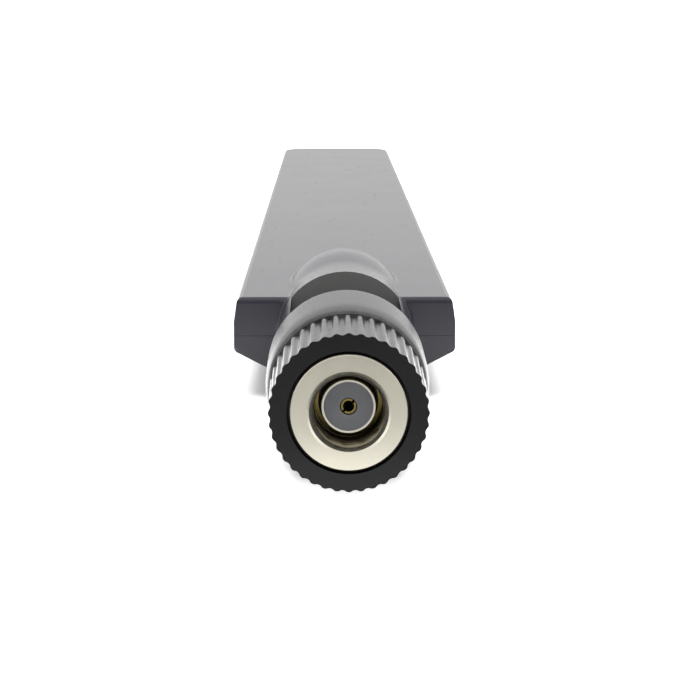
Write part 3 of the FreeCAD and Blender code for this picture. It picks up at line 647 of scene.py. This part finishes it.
class AntennaStage(bpy.types.Operator):
    """Set up the camera, the pale floor and the soft studio light"""

    bl_idname = "antenna.stage"
    bl_label = "Stage"

    def execute(self, context):
        settings = context.scene.antenna_stage
        deselect()
        place = Vector((settings.sideways, NUT_FRONT * MM - settings.stand_off, settings.height))
        turn = (math.pi / 2 - settings.pitch, 0.0, -settings.yaw)
        bpy.ops.object.camera_add(location=place, rotation=turn)
        camera = context.object
        camera.name = "camera"
        camera.data.lens = settings.lens
        camera.data.sensor_width = 36.0
        camera.data.clip_start = 0.01
        context.scene.camera = camera

        context.scene.view_settings.view_transform = "Standard"
        self.surround(context.scene, settings)
        self.floor(settings)
        self.front_flag(settings)
        self.apron(settings)
        self.lamp("key_light", LAMP_PLACE, LAMP_TURN, LAMP_SIZE, settings.key_light)
        return {"FINISHED"}

    def surround(self, scene, settings):
        """White overhead and behind the antenna, greyer in the room behind the camera."""
        world = bpy.data.worlds.new("studio")
        scene.world = world
        world.use_nodes = True
        tree = world.node_tree
        ground = tree.nodes["Background"]
        place = tree.nodes.new("ShaderNodeTexCoord")
        split = tree.nodes.new("ShaderNodeSeparateXYZ")
        tree.links.new(place.outputs["Generated"], split.inputs[0])
        tones = []
        for axis, low, high in ((1, -0.35, 0.35), (2, 0.45, 0.85)):
            ramp = tree.nodes.new("ShaderNodeMapRange")
            ramp.interpolation_type = "SMOOTHSTEP"
            ramp.inputs["From Min"].default_value = low
            ramp.inputs["From Max"].default_value = high
            tree.links.new(split.outputs[axis], ramp.inputs["Value"])
            tones.append(ramp)
        tones[0].inputs["To Min"].default_value = settings.room
        tones[0].inputs["To Max"].default_value = settings.backdrop
        mix = tree.nodes.new("ShaderNodeMix")
        tree.links.new(tones[1].outputs[0], mix.inputs[0])
        tree.links.new(tones[0].outputs[0], mix.inputs[2])
        mix.inputs[3].default_value = settings.ceiling
        tree.links.new(mix.outputs[0], ground.inputs["Strength"])
        ground.inputs["Color"].default_value = (1.0, 1.0, 1.0, 1.0)

    def floor(self, settings):
        deselect()
        bpy.ops.mesh.primitive_plane_add(size=FLOOR_SIZE, location=(0, 0, FLOOR_Z * MM - 0.00002))
        floor = bpy.context.object
        floor.name = "floor"
        f = Finish("pale_floor")
        tone = settings.floor_tone
        speck = f.noise(0.02, 3.0)
        f.set(Base_Color=f.mix(speck, shade((tone,) * 3, 0.99), shade((tone,) * 3, 1.01)), Roughness=0.8)
        # Painted light: the floor emits light everywhere in front of the plug, fading in from 9 mm to -1 mm
        # along the axis.
        painted_glow = f.y.rise(9.0, -1.0)
        f.set(Emission_Color=f.mix(painted_glow, (0, 0, 0), (settings.painted_floor_glow,) * 3), Emission_Strength=1.0)
        f.set(Specular_IOR_Level=0.1)
        paint(floor, f)

    def card(self, name, place, turn, size, finish):
        """A card that only reflections see."""
        deselect()
        bpy.ops.mesh.primitive_plane_add(size=1.0, location=place, rotation=turn)
        card = bpy.context.object
        card.name = name
        card.scale = (size[0], size[1], 1.0)
        bpy.ops.object.transform_apply(location=True, rotation=True, scale=True)
        finish.set(Base_Color=(0, 0, 0), Roughness=1.0, Specular_IOR_Level=0.0, Emission_Strength=1.0)
        paint(card, finish)
        card.visible_camera = False
        card.visible_diffuse = False
        card.visible_shadow = False
        card.visible_transmission = False

    def front_flag(self, settings):
        """A painted dark reflection: a dim card, seen only in reflections, for the dark room behind the
        camera.
        """
        f = Finish("front_flag")
        f.set(Emission_Color=(settings.flag_tone,) * 3)
        self.card("front_flag", (0, FLAG_Y, 0.42), (math.pi / 2, 0, 0), (2.4, 0.84), f)

    def apron(self, settings):
        """A painted reflection of the floor in front, on a glowing card that only reflections see: white close
        by, greyer further out, dark under the camera.
        """
        start, end = NUT_FRONT * MM, FLAG_Y
        f = Finish("apron")
        # Painted reflection: the card glows brightest close under the plug and dims further out.
        close = f.y.rise(-30.0, -9.0)
        away = f.y.rise(-65.0, -110.0)
        tone = f.mix(close, (settings.apron_tone,) * 3, (settings.apron_glare,) * 3)
        f.set(Emission_Color=f.mix(away, tone, (settings.flag_tone,) * 3))
        middle = (0, (start + end) / 2, FLOOR_Z * MM + 0.0005)
        self.card("apron", middle, (0, 0, 0), (1.2, start - end), f)

    def lamp(self, name, place, turn, size, power):
        bpy.ops.object.light_add(type="AREA", location=place, rotation=turn)
        lamp = bpy.context.object
        lamp.name = name
        lamp.data.shape = "SQUARE"
        lamp.data.size = size
        lamp.data.energy = power
        lamp.visible_glossy = False


class AntennaMouldings(bpy.types.Operator):
    """Give the moulded plastic parts their finishes"""

    bl_idname = "antenna.mouldings"
    bl_label = "Moulded parts"

    def execute(self, context):
        settings = context.scene.antenna_plastic
        sleeve = moulded_plastic("sleeve_plastic", settings.sleeve_colour, settings, sleeve_crests, ior=1.31)
        collar = moulded_plastic("collar_plastic", settings.hinge_colour, settings, collar_rims, matter=0.06)
        hinge = moulded_plastic("hinge_plastic", settings.hinge_colour, settings)
        blade = moulded_plastic(
            "blade_plastic", settings.blade_colour, settings, blade_edges, side_seam, fork_floor, ior=1.33,
        )
        finishes = {
            "knurled_sleeve": sleeve,
            "swivel_collar": collar,
            "hinge_knuckle": hinge,
            "blade_body": blade,
            "blade_cover": blade,
        }
        paint_nodes(finishes)
        return {"FINISHED"}


RINGS_PER_PITCH = 12
NUT_SEGMENTS = 144
FLANK = 1.12     # above 1, the groove's flanks end before the next turn and leave a flat crest
SLACK = 0.01


class AntennaNut(bpy.types.Operator):
    """Turn the coupling nut on the lathe, with its real spiral thread"""

    bl_idname = "antenna.nut"
    bl_label = "Coupling nut"

    def execute(self, context):
        thread = context.scene.antenna_thread
        crest, step = thread.crest / MM, thread.pitch / MM / RINGS_PER_PITCH
        mouth, lead, lead_start, lead_end = 3.43, 3.28, NUT_FRONT + 0.18, NUT_FRONT + 1.05
        chamber, chamber_start, chamber_end = 3.33, 1.6, 4.8
        lip, seat, seat_start, seat_end = 2.79, 3.11, 5.0, 5.6
        edge, nick = 0.12, 0.03
        slope = (crest - lead) / (lead_end - lead_start)
        profile = [(NUT_RADIUS - edge, NUT_FRONT), (mouth + nick, NUT_FRONT), (mouth, NUT_FRONT + nick)]
        profile += [(lead + slope * (y - lead_start), y) for y in evenly(lead_start, lead_end, step)]
        profile += [(crest, y) for y in evenly(lead_end, chamber_start, step)[1:]]
        profile += [(chamber, chamber_start), (chamber, chamber_end), (lip, chamber_end)]
        profile += [(lip, seat_start), (seat, seat_start), (seat, seat_end), (lip, seat_end)]
        profile += [(lip, NUT_REAR), (NUT_RADIUS - edge, NUT_REAR), (NUT_RADIUS, NUT_REAR - edge)]
        profile += [(NUT_RADIUS, NUT_FRONT + edge)]
        nut = turn_on_axis("coupling_nut_turned", profile, NUT_SEGMENTS)
        self.cut_thread(nut, thread, lead_start, chamber_start)
        smooth_by_angle(nut, 14)
        paint(nut, nickel_turned("nickel_turned", context.scene.antenna_metal.nickel))
        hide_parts("coupling_nut")
        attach(nut, "coupling")
        return {"FINISHED"}

    def cut_thread(self, nut, thread, start, end):
        """Moves the wall out to a spiral V groove, which also cuts into the narrower part of the lead-in."""
        pitch, crest, depth = thread.pitch / MM, thread.crest / MM, thread.depth / MM
        cut = 0
        for vertex in nut.data.vertices:
            x, y, z = (c / MM for c in vertex.co)
            radius = math.hypot(x, z)
            on_wall = crest - SLACK <= radius <= crest + depth
            if not on_wall or not start + SLACK < y < end - SLACK:
                continue
            phase = (y / pitch - math.atan2(x, z) / math.tau) % 1.0
            groove = max(0.0, 1.0 - abs(2.0 * phase - 1.0) * FLANK)
            cut_to = max(radius, crest + depth * groove)
            vertex.co = (x * cut_to / radius * MM, y * MM, z * cut_to / radius * MM)
            cut += 1
        if not cut:
            raise RuntimeError("the nut has no wall to cut a thread in")


class AntennaPlug(bpy.types.Operator):
    """Give the plug's metal, insulator and small rings their finishes"""

    bl_idname = "antenna.plug"
    bl_label = "Plug"

    def execute(self, context):
        metal = context.scene.antenna_metal
        steel = spring_steel("spring_steel")
        finishes = {
            "plug_body": plug_metal("plug_metal", metal.nickel, metal.gold),
            "insulator": pale_insulator("pale_insulator"),
            "centre_contact": gold_plate("gold_plate", metal.gold),
            "gasket": dark_silicone("dark_silicone"),
            "crimp_ferrule": nickel_turned("nickel_ferrule", metal.nickel, 0.3),
            "nut_clip": steel,
            "swivel_retainer": steel,
            "spring_washer": steel,
            "hinge_pins": spring_steel("pin_steel", (0.12, 0.12, 0.125), (0.09, 0.085, 0.08)),
        }
        paint_nodes(finishes)
        return {"FINISHED"}


class AntennaRadiator(bpy.types.Operator):
    """Give the circuit board and what is on it their finishes"""

    bl_idname = "antenna.radiator"
    bl_label = "Radiator"

    def execute(self, context):
        copper = bare_copper("bare_copper")
        finishes = {
            "circuit_board": green_board("green_board"),
            "copper_front": copper,
            "copper_back": copper,
            "solder_joints": tin_solder("tin_solder"),
        }
        paint_nodes(finishes)
        return {"FINISHED"}


PINCH = 0.05     # how far a foam block's edges draw in, as a share of its half size
LUMP = 0.012


class AntennaFoam(bpy.types.Operator):
    """Press two foam blocks between the board and the blade's ceiling"""

    bl_idname = "antenna.foam"
    bl_label = "Foam pads"

    def execute(self, context):
        x1, y0, z0 = side("foam_pads", 1, 0), side("foam_pads", 0, 1), side("foam_pads", 0, 2)
        y1, z1 = side("foam_pads", 1, 1), side("foam_pads", 1, 2)
        finish = cell_foam("cell_foam")
        first = self.block("foam_front", x1, (y0, y0 + FOAM_LENGTH), (z0, z1))
        second = self.copy_to(first, "foam_rear", y1 - FOAM_LENGTH - y0)
        for pad in (first, second):
            paint(pad, finish)
            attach(pad, "blade")
        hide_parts("foam_pads")
        return {"FINISHED"}

    def block(self, name, half, ys, zs):
        """A foam block squeezed flat: its sides bulge between pinched edges and its corners are round."""
        deselect()
        middle = ((ys[0] + ys[1]) / 2 * MM, (zs[0] + zs[1]) / 2 * MM)
        bpy.ops.mesh.primitive_cube_add(size=MM, location=(0, middle[0], middle[1]))
        pad = bpy.context.object
        pad.name = name
        pad.data.name = name
        pad.scale = (2 * half, ys[1] - ys[0], zs[1] - zs[0])
        bpy.ops.object.transform_apply(location=True, rotation=True, scale=True)
        bpy.ops.object.mode_set(mode="EDIT")
        bpy.ops.mesh.select_all(action="SELECT")
        bpy.ops.mesh.subdivide(number_cuts=23)
        bpy.ops.object.mode_set(mode="OBJECT")
        reach = (half * MM, (ys[1] - ys[0]) / 2 * MM, (zs[1] - zs[0]) / 2 * MM)
        for vertex in pad.data.vertices:
            u = vertex.co.x / reach[0]
            v = (vertex.co.y - middle[0]) / reach[1]
            w = (vertex.co.z - middle[1]) / reach[2]
            bulge = 1.0 - PINCH * w ** 4 - LUMP * (1 + math.sin(9 * v + 5 * w))
            swell = 1.0 - PINCH * w ** 4 - LUMP * (1 + math.sin(11 * u - 4 * w))
            corner = 1.0 - PINCH * (u * v) ** 6
            rim = 1.0 - PINCH * max(abs(u), abs(v)) ** 8
            vertex.co.x = u * bulge * corner * reach[0]
            vertex.co.y = middle[0] + v * swell * corner * reach[1]
            vertex.co.z = middle[1] + w * rim * reach[2]
        smooth_by_angle(pad, 60)
        return pad

    def copy_to(self, pad, name, along):
        deselect()
        copy = pad.copy()
        copy.data = pad.data.copy()
        copy.name = name
        copy.data.name = name
        bpy.context.scene.collection.objects.link(copy)
        copy.location.y = along * MM
        copy.select_set(True)
        bpy.context.view_layer.objects.active = copy
        bpy.ops.object.transform_apply(location=True, rotation=True, scale=True)
        return copy


BEND_STEP = 0.5      # between the rings along the cable
RING_REACH = 6.0
CUT_EDGE = 0.04


class AntennaCable(bpy.types.Operator):
    """Run the coaxial cable through the hinge"""

    bl_idname = "antenna.cable"
    bl_label = "Cable"

    def execute(self, context):
        jacket = cable_jacket("cable_jacket")
        self.layer("cable_jacket", "coax_jacket", JACKET_R, BRAID_R, jacket, "jacket_plastic")
        self.braid()
        core = pale_insulator("cable_insulator")
        self.layer("cable_dielectric", "coax_dielectric", CORE_R, WIRE_R, core, "ptfe")
        self.inner_wire()
        return {"FINISHED"}

    def bend(self, piece, node, slot):
        smooth_by_angle(piece, 40)
        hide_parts(node)
        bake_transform(piece)

    def layer(self, name, node, outer, inner, finish, slot):
        start, end = side(node, 0, 1), side(node, 1, 1)
        steps = evenly(start, end, BEND_STEP)
        profile = [(inner, y) for y in reversed(steps)]
        profile += [(outer - CUT_EDGE, start), (outer, start + CUT_EDGE)]
        profile += [(outer, y) for y in steps[1:-1]]
        profile += [(outer, end - CUT_EDGE), (outer - CUT_EDGE, end)]
        piece = turn_on_axis(name, profile, 32)
        paint(piece, finish)
        self.bend(piece, node, slot)

    def braid(self):
        start, end = side("coax_braid", 0, 1), side("coax_braid", 1, 1)
        on_core, on_tail, over_tail, in_jacket = 0.78, 1.07, 1.24, 0.94
        steps = evenly(JACKET_START, end, BEND_STEP)
        profile = [(on_core, y) for y in reversed(steps)]
        profile += [(on_tail, TAIL_END), (on_tail, start), (over_tail, start), (over_tail, TAIL_END)]
        profile += [(in_jacket, y) for y in steps]
        piece = turn_on_axis("cable_braid", profile, 48)
        paint(piece, woven_braid("woven_braid"))
        self.bend(piece, "coax_braid", "braid_wire")

    def inner_wire(self):
        """The inner wire follows the CAD wire's own line, with more rings around the hinge pin."""
        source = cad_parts["coax_conductor"]
        deselect()
        copy = bpy.data.objects.new("cable_inner_wire", source.data.copy())
        bpy.context.scene.collection.objects.link(copy)
        copy.select_set(True)
        bpy.context.view_layer.objects.active = copy
        bpy.ops.object.mode_set(mode="EDIT")
        bpy.ops.mesh.select_all(action="SELECT")
        bpy.ops.mesh.remove_doubles(threshold=0.001 * MM)
        for y in evenly(PIN_Y - RING_REACH, PIN_Y + RING_REACH, BEND_STEP):
            bpy.ops.mesh.select_all(action="SELECT")
            bpy.ops.mesh.bisect(plane_co=(0, y * MM, 0), plane_no=AXIS_Y)
        bpy.ops.object.mode_set(mode="OBJECT")
        paint(copy, bare_copper("wire_copper"))
        self.bend(copy, "coax_conductor", "copper")


class AntennaPanel(bpy.types.Panel):
    """The antenna's steps, in order"""

    bl_idname = "VIEW3D_PT_antenna"
    bl_label = "Hinged blade antenna"
    bl_space_type = "VIEW_3D"
    bl_region_type = "UI"
    bl_category = "Antenna"

    def draw(self, context):
        for step in STEPS:
            self.layout.operator(step.bl_idname)


STEPS = (
    AntennaStage, AntennaMouldings, AntennaNut, AntennaPlug, AntennaRadiator, AntennaFoam, AntennaCable,
)
SETTINGS = {
    "antenna_stage": AntennaStageSettings,
    "antenna_plastic": AntennaPlasticSettings,
    "antenna_metal": AntennaMetalSettings,
    "antenna_thread": AntennaThreadSettings,
}


def register():
    for name, group in SETTINGS.items():
        bpy.utils.register_class(group)
        setattr(bpy.types.Scene, name, bpy.props.PointerProperty(type=group))
    for step in STEPS:
        bpy.utils.register_class(step)
    bpy.utils.register_class(AntennaPanel)


def unregister():
    bpy.utils.unregister_class(AntennaPanel)
    for step in reversed(STEPS):
        bpy.utils.unregister_class(step)
    for name, group in SETTINGS.items():
        delattr(bpy.types.Scene, name)
        bpy.utils.unregister_class(group)


def main():
    register()
    for step in STEPS:
        group, name = step.bl_idname.split(".")
        getattr(getattr(bpy.ops, group), name)()


if __name__ == "__main__":
    main()
